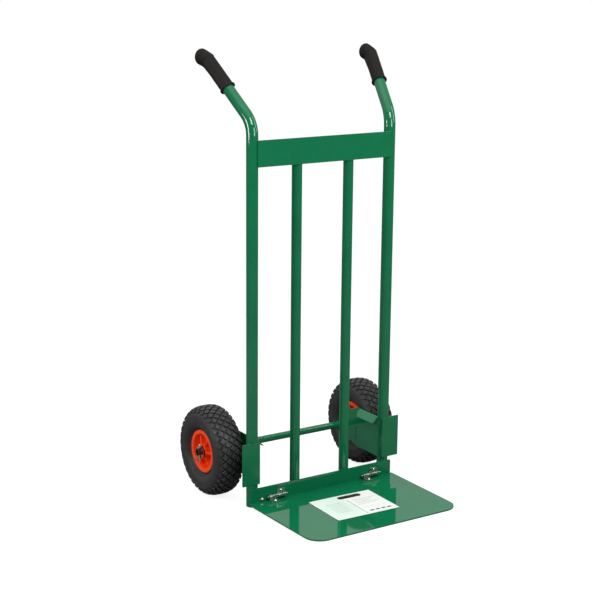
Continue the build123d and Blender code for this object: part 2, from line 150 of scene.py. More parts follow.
class HandTruckColours(PropertyGroup):
    enamel: colour("Enamel", "Gloss paint on the frame and the toe plate", "#0B6842")
    rim: colour("Rims", "Powder coat on the wheel rims", "#FF470B")
    tyre: colour("Tyres", "Moulded rubber of the tyres", "#2A2A2B")
    # Tread colour: paler tops of the crown's blocks, partly scuffing and partly a painted sheen.
    tread: colour("Tread", "Scuffed faces of the tread blocks", "#323233")
    grip: colour("Grips", "Moulded rubber of the grips", "#151211")
    zinc: colour("Zinc", "Plating on the hinges, bolts and pins", "#C4C8C2")
    steel: colour("Bare steel", "Oiled steel of the hubs and axle ends", "#5B4C40")
    label: colour("Label", "Film of the label", "#E6E9E5")
    tint: colour("Label tint", "Pale panel printed on the label", "#D3E6DA")
    ink: colour("Label ink", "Rules and bars printed on the label", "#1E231F")


class HandTruckTyre(PropertyGroup):
    blocks: IntProperty(name="Blocks", description="Tread blocks round the tyre in one row",
                        default=34, min=8, max=60)
    rows: IntProperty(name="Rows", description="Rows of blocks on each side of the middle row",
                      default=3, min=1, max=4)
    row_step: size("Row step", "From one row of blocks to the next, over the crown", 0.0134)
    block: size("Block", "Side of a tread block", 0.0134)
    depth: size("Depth", "Height of the tread blocks over the grooves", 0.0052)
    bevel: size("Bevel", "Eased edge of a tread block", 0.0011)
    wall: size("Wall", "Thickness of the tyre", 0.0075)


class HandTruckRim(PropertyGroup):
    rib: size("Rib", "Thickness of a rib", 0.0046)
    rib_rise: size("Rib rise", "Height of a rib over the disc, at the barrel", 0.011)
    ease: size("Ease", "Rounding of the ribs", 0.0012)
    boss: size("Boss", "Radius of a screw boss", 0.006)


class HandTruckGrip(PropertyGroup):
    radius: size("Radius", "Outside of a grip along its smooth stretch", 0.0191)
    bore: size("Bore", "Radius of the hole for the handle", 0.01615)
    length: size("Length", "From the mouth of a grip to its bend", 0.1)
    lip: size("Lip", "Radius of the rolled lip at the mouth", 0.022)
    tip: size("Tip", "Radius of the flared end", 0.0216)
    rings: IntProperty(name="Rings", description="Raised rings before the flared end", default=5,
                       min=0, max=10)
    ring_step: size("Ring step", "From one ring to the next", 0.0062)
    ring_rise: size("Ring rise", "Height of a ring over its groove", 0.004)
    slant: size("Slant", "Lead of the end's upper edge over its middle", 0.005)
    slant_run: size("Slant run", "Length of the grip that the slant bends", 0.03)
    trim: size("Trim", "Shortening of the grip's middle where its end is slanted", 0.004)


class HandTruckWeld(PropertyGroup):
    radius: size("Radius", "Radius of a weld bead", 0.0026)
    ripple: size("Ripple", "From one ripple of a bead to the next", 0.0032)


class HandTruckStage(PropertyGroup):
    azimuth: FloatProperty(name="Azimuth", description="Camera's turn from straight ahead",
                           default=radians(-32.9225), subtype="ANGLE")
    elevation: FloatProperty(name="Elevation", description="Camera's height angle",
                             default=radians(12.6089), subtype="ANGLE")
    roll: FloatProperty(name="Roll", description="Camera's turn about its own line of sight",
                        default=radians(-0.5589), subtype="ANGLE")
    distance: size("Distance", "From the camera to its target", 3.976)
    target: FloatVectorProperty(name="Target", description="Point that the camera looks at",
                                default=(-0.086108, 0, 0.506372), subtype="TRANSLATION",
                                unit="LENGTH")
    lens: FloatProperty(name="Lens", description="Focal length in millimetres", default=88.8)
    shift: FloatVectorProperty(name="Shift", default=(-0.00113, 0.04478), size=2,
                               description="Shift of the lens, as a share of the view")


GROUPS = {
    "hand_truck_colours": HandTruckColours,
    "hand_truck_tyre": HandTruckTyre,
    "hand_truck_rim": HandTruckRim,
    "hand_truck_grip": HandTruckGrip,
    "hand_truck_weld": HandTruckWeld,
    "hand_truck_stage": HandTruckStage,
}


# ---------------------------------------------------------------- shader nodes
def per(millimetres):
    """Texture scale at which one cell of a pattern has that size."""
    return 1000 / millimetres


def add(tree, kind, links=(), values=(), **settings):
    """Add a node with its settings, its constants and its links."""
    made = tree.nodes.new(kind)
    for key, value in settings.items():
        setattr(made, key, value)
    for socket, value in dict(values).items():
        made.inputs[socket].default_value = value
    for socket, source in dict(links).items():
        tree.links.new(source, made.inputs[socket])
    return made


def surface(name, **values):
    """A material with a principled shader, and the parts that its pattern joins."""
    material = bpy.data.materials.new(name)
    material.use_nodes = True
    tree = material.node_tree
    shader = tree.nodes["Principled BSDF"]
    for socket, value in values.items():
        shader.inputs[socket.replace("_", " ")].default_value = value
    place = add(tree, "ShaderNodeTexCoord").outputs["Object"]
    return material, tree, shader, place


# ---------------------------------------------------------------- finishes
def palette():
    """The colours that the user has chosen."""
    return bpy.context.scene.hand_truck_colours


# Clouds over a finish: their size in millimetres, what they drive at least and at most, and how
# fine and how rough their edges are.
Pattern = namedtuple("Pattern", "cell low high detail rough", defaults=(2.0, 0.5))
# Bumps of a finish: their size in millimetres, their height in metres and how fine they are.
Grain = namedtuple("Grain", "cell height detail")


def cloudy(tree, place, pattern, low, high):
    """Clouds of a pattern, stretched over a range."""
    clouds = add(tree, "ShaderNodeTexNoise", {"Vector": place},
                 {"Scale": per(pattern.cell), "Detail": pattern.detail,
                  "Roughness": pattern.rough})
    stretched = add(tree, "ShaderNodeMapRange", {"Value": clouds.outputs["Fac"]},
                    {"From Min": 0.3, "From Max": 0.7, "To Min": low, "To Max": high})
    return stretched.outputs["Result"]


def coat(name, base, clouds, gloss=None, grain=None, **values):
    """A finish whose colour and roughness follow patterns and whose bump follows a grain."""
    material, tree, shader, place = surface(name, **values)
    dark = [c * clouds.low for c in base]
    light = [min(1, c * clouds.high) for c in base]
    tint = add(tree, "ShaderNodeMix", {"Factor": cloudy(tree, place, clouds, 0, 1)},
               data_type="RGBA")
    for socket in tint.inputs:
        if socket.type == "RGBA":
            socket.default_value = (*(dark if socket.name == "A" else light), 1)
    tinted = next(s for s in tint.outputs if s.type == "RGBA")
    tree.links.new(tinted, shader.inputs["Base Color"])
    if gloss:
        patches = cloudy(tree, place, gloss, gloss.low, gloss.high)
        tree.links.new(patches, shader.inputs["Roughness"])
    if grain:
        pebble = add(tree, "ShaderNodeTexNoise", {"Vector": place},
                     {"Scale": per(grain.cell), "Detail": grain.detail, "Roughness": 0.5})
        bump = add(tree, "ShaderNodeBump", {"Height": pebble.outputs["Fac"]},
                   {"Distance": grain.height, "Strength": 1.0})
        tree.links.new(bump.outputs["Normal"], shader.inputs["Normal"])
    return material


def gloss_enamel(name):
    """Stoved alkyd enamel on steel: wet gloss over a faint orange peel."""
    return coat(name, palette().enamel, Pattern(90, 0.93, 1.07), Pattern(35, 0.04, 0.07),
                Grain(6, 0.00001, 1.0), Roughness=0.08, IOR=1.5)


def sheet_enamel(name):
    """The enamel sprayed drier, on the wing plates: a satin gloss with no sharp image."""
    return coat(name, palette().enamel, Pattern(70, 0.93, 1.07), Pattern(45, 0.15, 0.22),
                Grain(5, 0.00001, 1.0), Roughness=0.18, IOR=1.5)


def plate_enamel(name):
    """The enamel flowed out on the toe plate: almost a mirror, with fine handling scuffs."""
    return coat(name, palette().enamel, Pattern(120, 0.94, 1.06),
                Pattern(26, 0.02, 0.075, 6.0, 0.7), Grain(14, 0.00002, 1.0), Roughness=0.04,
                IOR=1.5)


def rim_coat(name):
    """Powder coat on pressed steel rims: a saturated gloss with a soft pebble."""
    return coat(name, palette().rim, Pattern(25, 0.9, 1.08), Pattern(9, 0.24, 0.38),
                Grain(1.6, 0.00004, 1.0), Roughness=0.3, IOR=1.5, Specular_IOR_Level=0.35)


def moulded_rubber(name, base, rough, grain, sheen=0.3):
    """Carbon-black rubber from a blasted mould: a dull face that dust and handling make uneven."""
    return coat(name, base, Pattern(22, 0.82, 1.25, 5.0, 0.65),
                Pattern(7, rough - 0.08, rough + 0.1, 3.0), Grain(grain, 0.00007, 3.0),
                Roughness=rough, IOR=1.52, Specular_IOR_Level=sheen)


def tyre_rubber(name):
    """Sidewall rubber of the tyre, smooth from a polished mould."""
    return moulded_rubber(name, palette().tyre, 0.5, 1.4)


def tread_rubber(name):
    """Faces of the tread blocks, paler than the sidewalls: partly scuffing, partly a painted sheen
    where the block tops catch the light.
    """
    return moulded_rubber(name, palette().tread, 0.46, 1.1)


def grip_rubber(name):
    """Soft vinyl of the grips, with a leathery mould grain drawn coarse enough to show."""
    return moulded_rubber(name, palette().grip, 0.66, 4, 0.2)


def tube_rubber(name):
    """Butyl rubber of the inner tubes and valve stems, black and slightly waxy."""
    return moulded_rubber(name, [c * 0.4 for c in palette().tyre], 0.42, 1.5)


def zinc_plating(name):
    """Bright zinc plate on steel: pale metal with a faint milky bloom."""
    return coat(name, palette().zinc, Pattern(6, 0.78, 1.12, 3.0), Pattern(3, 0.16, 0.34, 3.0),
                Grain(1.2, 0.00002, 2.0), Metallic=1.0, Roughness=0.24)


def oversprayed_zinc(name):
    """Zinc-plated hinges that caught the frame's spray: metal under a thin, patchy green."""
    green = 0.65
    tinted = [a * (1 - green) + b * green for a, b in zip(palette().zinc, palette().enamel)]
    return coat(name, tinted, Pattern(7, 0.6, 1.3, 4.0, 0.6), Pattern(4, 0.18, 0.36, 3.0),
                Grain(2.5, 0.00004, 2.0), Metallic=0.85, Roughness=0.26)


def oiled_steel(name):
    """Bare turned steel under old oil: dark brownish metal with tooling rings."""
    material = coat(name, palette().steel, Pattern(8, 0.55, 1.25, 5.0, 0.7),
                    Pattern(4, 0.3, 0.5), Metallic=1.0, Roughness=0.4)
    tree = material.node_tree
    place = add(tree, "ShaderNodeTexCoord").outputs["Object"]
    ring_step = 1.2
    wave_units = 20
    rings = add(tree, "ShaderNodeTexWave", {"Vector": place},
                {"Scale": per(wave_units * ring_step), "Distortion": 0.6}, wave_type="BANDS",
                bands_direction="X")
    bump = add(tree, "ShaderNodeBump", {"Height": rings.outputs["Fac"]},
               {"Distance": 0.00002, "Strength": 1.0})
    tree.links.new(bump.outputs["Normal"], tree.nodes["Principled BSDF"].inputs["Normal"])
    return material


def printed_film(name, base, rough):
    """Vinyl label film: an even satin face that lies a little wavy."""
    return coat(name, base, Pattern(60, 0.97, 1.02), None, Grain(30, 0.00006, 2.0),
                Roughness=rough, IOR=1.46)


def label_film(name):
    """Film of the label, white and satin."""
    return printed_film(name, palette().label, 0.32)


def label_tint(name):
    """Pale printed panel of the label."""
    return printed_film(name, palette().tint, 0.34)


def label_rules(name):
    """Grey ruled lines of the label, printed thinner than the solid ink."""
    return printed_film(name, [(a + b) / 2 for a, b in zip(palette().ink, palette().label)], 0.3)


def label_ink(name):
    """Dark print on the label, a touch glossier than the film."""
    return printed_film(name, palette().ink, 0.3)


FINISHES = {
    "Gloss enamel": gloss_enamel,
    "Gloss enamel on sheet": sheet_enamel,
    "Gloss enamel on plate": plate_enamel,
    "Rim powder coat": rim_coat,
    "Tyre rubber": tyre_rubber,
    "Tread rubber": tread_rubber,
    "Grip vinyl": grip_rubber,
    "Butyl rubber": tube_rubber,
    "Bright zinc plating": zinc_plating,
    "Oversprayed zinc": oversprayed_zinc,
    "Oiled bare steel": oiled_steel,
    "Label film": label_film,
    "Label tint": label_tint,
    "Label rules": label_rules,
    "Label ink": label_ink,
}


def finish(name):
    """The material of that name, made the first time that a piece asks for it."""
    return bpy.data.materials.get(name) or FINISHES[name](name)


# ---------------------------------------------------------------- meshes
def shown(name, data):
    """A new object in the scene that shows a mesh, a lamp or a camera."""
    made = bpy.data.objects.new(name, data)
    bpy.context.scene.collection.objects.link(made)
    return made


def make_piece(name, bm, finishes, body, replaced=(), sharp=38):
    """Close a mesh into a piece that rides on a body and stands for CAD nodes."""
    bmesh.ops.remove_doubles(bm, verts=bm.verts, dist=1e-6)
    bmesh.ops.recalc_face_normals(bm, faces=bm.faces)
    mesh = bpy.data.meshes.new(name)
    bm.to_mesh(mesh)
    bm.free()
    mesh.shade_smooth()
    mesh.set_sharp_from_angle(angle=radians(sharp))
    for entry in finishes:
        mesh.materials.append(finish(entry))
    piece = shown(name, mesh)
    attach(piece, body)
    if replaced:
        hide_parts(*replaced)
    return piece


def bevel(bm, geom, width, segments, affect="EDGES"):
    """Round edges of a mesh, or the corners of a flat one."""
    bmesh.ops.bevel(bm, geom=geom, offset=width, offset_type="OFFSET", segments=segments,
                    affect=affect, profile=0.5, material=-1, clamp_overlap=True)


def raised(bm, height):
    """Extrude a flat mesh upwards into a closed slab."""
    grown = bmesh.ops.extrude_face_region(bm, geom=bm.faces[:])
    top = [v for v in grown["geom"] if isinstance(v, bmesh.types.BMVert)]
    bmesh.ops.translate(bm, vec=(0, 0, height), verts=top)


def repaint(entry, *nodes):
    """Give CAD nodes a finish."""
    for name in nodes:
        materials = frame["nodes"][name].data.materials
        materials.clear()
        materials.append(finish(entry))


def rounded(corners, steps=4):
    """Closed outline whose corners, each a point and a radius, are eased into arcs."""
    outline = []
    for i, (x, y, radius) in enumerate(corners):
        here = Vector((x, y))
        back = (Vector(corners[i - 1][:2]) - here).normalized()
        ahead = (Vector(corners[(i + 1) % len(corners)][:2]) - here).normalized()
        if not radius:
            outline.append((x, y))
            continue
        half = back.angle(ahead) / 2
        middle = here + (back + ahead).normalized() * radius / sin(half)
        start = (here + back * radius / tan(half) - middle).normalized()
        end = (here + ahead * radius / tan(half) - middle).normalized()
        for k in range(steps + 1):
            outline.append(tuple(middle + start.slerp(end, k / steps) * radius))
    return outline


def lathe(bm, outline, steps):
    """Ring round the X axis from a closed outline, drawn as X against radius."""
    verts = [bm.verts.new((x, 0, r)) for x, r in outline]
    edges = [bm.edges.new((verts[i - 1], verts[i])) for i in range(len(verts))]
    bmesh.ops.spin(bm, geom=verts + edges, cent=(0, 0, 0), axis=(1, 0, 0), dvec=(0, 0, 0),
                   angle=2 * pi, steps=steps, use_merge=True)


def join(bm, other):
    """Add one mesh to another and free it."""
    carrier = bpy.data.meshes.new("carrier")
    other.to_mesh(carrier)
    other.free()
    bm.from_mesh(carrier)
    bpy.data.meshes.remove(carrier)


def copied(node):
    """Mesh of a CAD node with its doubles merged and its flat faces whole."""
    bm = bmesh.new()
    bm.from_mesh(frame["nodes"][node].data)
    bmesh.ops.remove_doubles(bm, verts=bm.verts, dist=2e-6)
    bmesh.ops.dissolve_limit(bm, angle_limit=radians(0.5), verts=bm.verts, edges=bm.edges)
    return bm


def ease(bm, width):
    """Round every sharp edge of a mesh."""
    least = radians(40)
    bevel(bm, [e for e in bm.edges if e.is_manifold and e.calc_face_angle(0) > least], width, 2)


# ---------------------------------------------------------------- tyres
# Band beside the tread's edge where its grooves grow shallow.
SHOULDER = 0.019


class CrownLine:
    """Outside of a tyre's section: a full crown, then the sidewall curving in to the bead."""

    def __init__(self, steps=260):
        fullness = 2 / 2.9
        widest_r = 0.088
        knee_drop = 0.014
        foot = Vector((BEAD_FACE, RIM_FLANGE_R + 0.0006))
        points = []
        for i in range(steps + 1):
            turn = pi / 2 * i / steps
            points.append(Vector((TYRE_HALF * sin(turn) ** fullness,
                                  widest_r + (WHEEL_R - widest_r) * max(0, cos(turn)) ** fullness)))
        side = points[-1]
        knee = Vector((TYRE_HALF, widest_r - knee_drop))
        for i in range(1, steps + 1):
            t = i / steps
            points.append(side * (1 - t) ** 2 + knee * 2 * t * (1 - t) + foot * t ** 2)
        self.points = points
        self.reach = [0.0]
        for a, b in zip(points, points[1:]):
            self.reach.append(self.reach[-1] + (b - a).length)
        self.length = self.reach[-1]

    def at(self, run):
        """Point on the right-hand half at a distance from the middle, and the way out from it."""
        i = 1
        while i < len(self.reach) - 1 and self.reach[i] < run:
            i += 1
        a = self.points[i - 1]
        b = self.points[i]
        share = (run - self.reach[i - 1]) / (b - a).length
        reach = 6
        low = self.points[max(0, i - reach)]
        high = self.points[min(len(self.points) - 1, i + reach - 1)]
        along = (high - low).normalized()
        if i < reach:
            along = Vector((1, 0)).lerp(along, i / reach).normalized()
        return a + (b - a) * share, Vector((-along.y, along.x))

    def lifted(self, run, height):
        """Point at a signed distance from the middle, raised off the line."""
        point, out = self.at(abs(run))
        point += out * height
        return Vector((point.x if run >= 0 else -point.x, point.y))


def skin_height(run, length, groove_end, depth):
    """Height of the tyre's skin: grooves that grow shallow at the shoulder, and sidewall rings."""
    rising = min(1, max(0, (run - groove_end + SHOULDER) / SHOULDER))
    floor = -depth * (1 - 0.7 * rising * rising)
    if run < groove_end:
        return floor
    groove_wall = 0.002
    blend = min(1, (run - groove_end) / groove_wall)
    height = floor * (1 - blend)
    sidewall = length - groove_end
    rings = ((0.012, 0.0008, 0.0012), (0.0165, 0.0005, 0.0008),
             (sidewall - 0.007, 0.0006, 0.0009), (sidewall - 0.0105, 0.0005, 0.0007))
    for from_bead, rise, half in rings:
        off = abs(length - run - from_bead) / half
        if off < 1:
            height += rise * (1 - off * off)
    return height


def carcass(line, tyre):
    """Tyre without its blocks: the outside with its grooved crown, and the inside wall."""
    groove_end = (tyre.rows + 0.62) * tyre.row_step
    plain_end = groove_end - SHOULDER - 0.002
    fine_step = 0.0006
    coarse = 5
    count = ceil(line.length / fine_step)
    outside = []
    for i in range(-count, count + 1):
        run = line.length * i / count
        if abs(run) < plain_end and i % coarse:
            continue
        height = skin_height(abs(run), line.length, groove_end, tyre.depth)
        outside.append(tuple(line.lifted(run, height)))
    inside = []
    wall_count = 18
    bead_height = 0.012
    for i in range(wall_count, -wall_count - 1, -1):
        run = (line.length - bead_height) * i / wall_count
        inside.append(tuple(line.lifted(run, -tyre.wall)))
    seat_gap = 0.0004
    bead_width = 0.01
    heel = BEAD_SEAT_R + seat_gap
    toe = BEAD_FACE - bead_width
    outline = outside + [(BEAD_FACE, heel), (toe, heel)] + inside
    outline += [(-toe, heel), (-BEAD_FACE, heel)]
    bm = bmesh.new()
    lathe(bm, outline, 128)
    return bm


def tread_block(line, tyre, run, turn):
    """One diamond block of the tread, laid over the crown at a row and an angle."""
    bm = bmesh.new()
    sunk = 0.001
    height = tyre.depth + sunk
    bmesh.ops.create_grid(bm, x_segments=2, y_segments=2, size=tyre.block / 2,
                          matrix=Matrix.Rotation(pi / 4, 4, "Z"))
    raised(bm, height)
    bmesh.ops.recalc_face_normals(bm, faces=bm.faces)
    rim = [e for e in bm.edges
           if e.calc_face_angle(0) > 0.5 and max(v.co.z for v in e.verts) > height / 2]
    bevel(bm, rim, tyre.bevel, 1)
    # Tops of the crown's blocks take the paler tread rubber: partly scuffing, partly a painted
    # sheen.
    on_crown = abs(run) < tyre.row_step * (tyre.rows - 0.5)
    for face in bm.faces:
        scuffed_and_sheened = on_crown and face.calc_center_median().z > height * 0.9
        face.material_index = 1 if scuffed_and_sheened else 0
    for vert in bm.verts:
        on_line = line.lifted(run + vert.co.x, vert.co.z - height)
        angle = turn + vert.co.y / WHEEL_R
        vert.co = (on_line.x, -on_line.y * sin(angle), on_line.y * cos(angle))
    return bm


def tread(line, tyre):
    """Rows of blocks round the tyre, each row half a step on from the last."""
    bm = bmesh.new()
    step = 2 * pi / tyre.blocks
    for row in range(-tyre.rows, tyre.rows + 1):
        turn = step / 2 if row % 2 else 0
        join(bm, tread_block(line, tyre, row * tyre.row_step, turn))
    copies = tyre.blocks
    bmesh.ops.spin(bm, geom=bm.verts[:] + bm.edges[:] + bm.faces[:], cent=(0, 0, 0),
                   axis=(1, 0, 0), dvec=(0, 0, 0), angle=2 * pi * (copies - 1) / copies,
                   steps=copies - 1, use_duplicate=True)
    return bm


class HANDTRUCK_OT_tyres(Operator):
    """Mould both tyres with their staggered tread blocks"""
    bl_idname = "handtruck.tyres"
    bl_label = "Tyres"

    def execute(self, context):
        tyre = context.scene.hand_truck_tyre
        line = CrownLine()
        for side, _ in SIDES:
            bm = carcass(line, tyre)
            join(bm, tread(line, tyre))
            bmesh.ops.transform(bm, matrix=wheel_place(side), verts=bm.verts)
            make_piece(side + "_tyre_moulding", bm, ("Tyre rubber", "Tread rubber"),
                       side + "_wheel", (side + "_tyre",), sharp=32)
        repaint("Butyl rubber", "left_inner_tube", "right_inner_tube", "left_valve", "right_valve")
        return {"FINISHED"}


# ---------------------------------------------------------------- rims and hubs
def rim_shell():
    """Half of a rim: rolled lip, barrel, recessed disc and hub, each corner with its radius."""
    barrel_r = BEAD_SEAT_R - BARREL
    joint = 0.0001
    bm = bmesh.new()
    lathe(bm, rounded([
        (joint, BEAD_SEAT_R, 0), (RIM_HALF - RIM_FLANGE, BEAD_SEAT_R, 0.001),
        (RIM_HALF - RIM_FLANGE, RIM_FLANGE_R, 0.002), (RIM_HALF, RIM_FLANGE_R, 0.0024),
        (RIM_HALF, BEAD_SEAT_R - 0.0025, 0.003), (DISC_FACE, barrel_r - 0.001, 0.003),
        (DISC_FACE, HUB_R, 0.002), (HUB_FACE, HUB_R, 0.0016), (HUB_FACE, SLEEVE_BORE, 0.0006),
        (joint, SLEEVE_BORE, 0), (joint, HUB_R, 0), (DISC_FACE - DISC, HUB_R, 0),
        (DISC_FACE - DISC, barrel_r - 0.002, 0.001), (joint, barrel_r, 0)]), 96)
    return bm


def rib(rim, turn):
    """One rib between the hub and the barrel, rising outwards."""
    low_r = HUB_R - 0.0015
    high_r = BEAD_SEAT_R - BARREL - 0.0005
    draft = 1.35
    bm = bmesh.new()
    bmesh.ops.create_cube(bm, size=1)
    for vert in bm.verts:
        outer = vert.co.z > 0
        crest = DISC_FACE + rim.rib_rise if outer else HUB_FACE - 0.0005
        x = crest if vert.co.x > 0 else DISC_FACE - DISC / 2
        half = rim.rib * (draft if vert.co.x < 0 else 1) / 2
        vert.co = (x, half if vert.co.y > 0 else -half, high_r if outer else low_r)
    radial = [e for e in bm.edges if e.calc_length() > (high_r - low_r) / 2]
    crests = [e for e in radial if min(v.co.x for v in e.verts) > DISC_FACE]
    bevel(bm, crests, rim.ease, 3)
    bmesh.ops.rotate(bm, cent=(0, 0, 0), matrix=Matrix.Rotation(turn, 3, "X"), verts=bm.verts)
    return bm


def screw_boss(rim, turn):
    """Boss on the disc with the sunk end of its clamping screw."""
    bm = bmesh.new()
    root = DISC_FACE - DISC / 2
    crest = DISC_FACE + 0.0015
    floor = DISC_FACE - 0.001
    hole = 0.0027
    lathe(bm, rounded([(root, 0, 0), (root, rim.boss, 0), (crest, rim.boss, 0.0008),
                       (crest, hole, 0.0003), (floor, hole, 0), (floor, 0, 0)], 3), 20)
    bmesh.ops.remove_doubles(bm, verts=bm.verts, dist=1e-6)
    bmesh.ops.translate(bm, vec=(0, 0, SCREW_RING_R), verts=bm.verts)
    bmesh.ops.rotate(bm, cent=(0, 0, 0), matrix=Matrix.Rotation(turn, 3, "X"), verts=bm.verts)
    return bm


class HANDTRUCK_OT_rims(Operator):
    """Press both halves of each rim, with their ribs and screw bosses"""
    bl_idname = "handtruck.rims"
    bl_label = "Rims and hubs"

    def execute(self, context):
        rim = context.scene.hand_truck_rim
        first_rib = -pi / 2
        step = 2 * pi / RIB_COUNT
        inward = Matrix.Scale(-1, 4, (1, 0, 0))
        for side, _ in SIDES:
            for half, flip in (("outer", Matrix.Identity(4)), ("inner", inward)):
                bm = rim_shell()
                for i in range(RIB_COUNT):
                    join(bm, rib(rim, first_rib + step * i))
                    join(bm, screw_boss(rim, first_rib + step * (i + 0.5)))
                bmesh.ops.transform(bm, matrix=wheel_place(side) @ flip, verts=bm.verts)
                make_piece(f"{side}_rim_{half}_pressing", bm, ("Rim powder coat",),
                           side + "_wheel", (f"{side}_rim_{half}",))
        repaint("Oiled bare steel", "left_hub_sleeve", "right_hub_sleeve")
        repaint("Bright zinc plating", "left_rim_screws", "right_rim_screws", "axle_washers",
                "left_split_pin", "right_split_pin")
        return {"FINISHED"}


# ---------------------------------------------------------------- grips
class GripLine:
    """Middle line of a grip: straight, round its bend, and straight to its tip."""

    def __init__(self, length, side):
        flip = Vector((side, 1, 1))
        self.corner = GRIP_BEND * flip
        self.first = ((GRIP_BEND - HANDLE_BEND) * flip).normalized()
        self.last = ((GRIP_TIP - GRIP_BEND) * flip).normalized()
        self.turn = self.first.angle(self.last)
        self.cut = GRIP_BEND_R * tan(self.turn / 2)
        self.start = self.corner - self.first * length
        self.straight = length - self.cut
        self.arc = GRIP_BEND_R * self.turn
        self.side = self.first.cross(self.last).normalized()
        tail = (GRIP_TIP - GRIP_BEND).length - self.cut
        self.length = self.straight + self.arc + tail

    def place(self, run):
        """Axes of the grip at a distance from its mouth, with X along it."""
        bent = min(max(run - self.straight, 0), self.arc)
        turn = Matrix.Rotation(bent / GRIP_BEND_R, 3, self.side)
        along = turn @ self.first
        inward = self.side.cross(self.first)
        point = self.start + self.first * min(run, self.straight)
        if run > self.straight:
            centre = point + inward * GRIP_BEND_R
            point = centre + turn @ (point - centre)
        point += along * max(0, run - self.straight - self.arc)
        across = self.side.cross(along)
        axes = Matrix((along, across, self.side)).transposed().to_4x4()
        return Matrix.Translation(point) @ axes


def grip_outline(grip, line):
    """Section of a grip laid out straight: lip, smooth stretch, rings, flare and rounded end."""
    end_wall = 0.0115
    mouth_ease = 0.0006
    outline = [(line.length - end_wall, 0), (line.length - end_wall, grip.bore),
               (mouth_ease, grip.bore), (0, grip.bore + mouth_ease)]
    lip = 0.0026
    lip_rise = 0.0016
    for k in range(9):
        swing = pi * k / 8
        outline.append((lip - lip * cos(swing), grip.lip - lip_rise + lip_rise * sin(swing)))
    run = 2.6 * lip
    step = 0.0008
    flare = 0.022
    flare_rise = grip.tip - 0.0004 - grip.radius
    ring_end = line.length - 0.0055
    ring_start = ring_end - grip.rings * grip.ring_step
    while run < line.length - 0.001:
        opened = max(0, (run - line.length + flare) / flare)
        radius = grip.radius + flare_rise * opened ** 1.6
        if ring_start < run < ring_end:
            beat = abs(sin(pi * (run - ring_start) / grip.ring_step))
            radius = min(grip.tip, radius + grip.ring_rise * (beat ** 0.6 - 0.5))
        outline.append((run, radius))
        run += step
    corner = 0.0009
    for k in range(7):
        swing = pi / 2 * k / 6
        outline.append((line.length - corner + corner * sin(swing),
                        grip.tip - corner + corner * cos(swing)))
    outline.append((line.length, 0))
    return outline


class HANDTRUCK_OT_grips(Operator):
    """Mould both grips, bent with their handles"""
    bl_idname = "handtruck.grips"
    bl_label = "Grips"

    def execute(self, context):
        grip = context.scene.hand_truck_grip
        for side, sign in SIDES:
            line = GripLine(grip.length, sign)
            bm = bmesh.new()
            lathe(bm, grip_outline(grip, line), 48)
            for vert in bm.verts:
                near_tip = max(0, 1 - (line.length - vert.co.x) / grip.slant_run)
                level = -vert.co.y / grip.tip
                run = vert.co.x + near_tip * (grip.slant * level - grip.trim)
                vert.co = line.place(run) @ Vector((0, vert.co.y, vert.co.z))
            bmesh.ops.transform(bm, matrix=STANDING, verts=bm.verts)
            make_piece(side + "_grip_moulding", bm, ("Grip vinyl",), "frame",
                       (side + "_grip",), sharp=50)
        return {"FINISHED"}


# ---------------------------------------------------------------- welds
# Middle of a bead that lies in the crevice beside a tube, as shares of the tube's radius.
CREVICE_OUT = 0.54
CREVICE_IN = 0.1


def rippled(beat):
    """Share of a bead's radius after that many ripples."""
    trough = 0.86
    return trough + (1 - trough) * abs(sin(pi * beat))


def bead(weld, start, end):
    """Rippled weld bead between two points."""
    run = Vector(end) - Vector(start)
    ripples = max(2, round(run.length / weld.ripple))
    steps = ripples * 5
    outline = [(0, 0)]
    for i in range(steps + 1):
        share = i / steps
        round_off = min(1, min(share, 1 - share) * run.length / weld.radius)
        beat = share * ripples
        wander = 1 + 0.07 * sin(9.1 * beat / 4) + 0.05 * sin(4.3 * beat)
        full = (1 - (1 - round_off) ** 2) ** 0.5
        radius = weld.radius * rippled(beat) * wander * full
        outline.append((share * run.length, max(0.0002, radius)))
    outline.append((run.length, 0))
    bm = bmesh.new()
    lathe(bm, outline, 10)
    turn = Vector((1, 0, 0)).rotation_difference(run).to_matrix().to_4x4()
    bmesh.ops.transform(bm, matrix=Matrix.Translation(start) @ turn, verts=bm.verts)
    return bm


def ring_bead(weld, centre_x, radius):
    """Rippled weld bead round the axle."""
    length = 2 * pi * radius
    ripples = round(length / weld.ripple)
    steps = ripples * 5
    bm = bmesh.new()
    sides = 10
    rings = []
    for i in range(steps):
        share = i / steps
        thick = weld.radius * rippled(share * ripples)
        rings.append([bm.verts.new((0, 0, 0)) for _ in range(sides)])
        for k, vert in enumerate(rings[-1]):
            swing = 2 * pi * k / sides
            out = radius + thick * cos(swing)
            vert.co = (centre_x + thick * sin(swing), AXLE_BACK + out * sin(2 * pi * share),
                       AXLE_HEIGHT + out * cos(2 * pi * share))
    edges = [[bm.edges.new((r[k - 1], r[k])) for k in range(sides)] for r in rings]
    for i in range(steps):
        bmesh.ops.bridge_loops(bm, edges=edges[i - 1] + edges[i])
    return bm


def tube_beads(x, tube_r, low, high):
    """Beads down both sides of a tube, in the gap between it and a plate in front of it."""
    off = tube_r * CREVICE_OUT
    y = FRONT_Y + tube_r * CREVICE_IN
    return [((x - off, y, low), (x - off, y, high)), ((x + off, y, low), (x + off, y, high))]


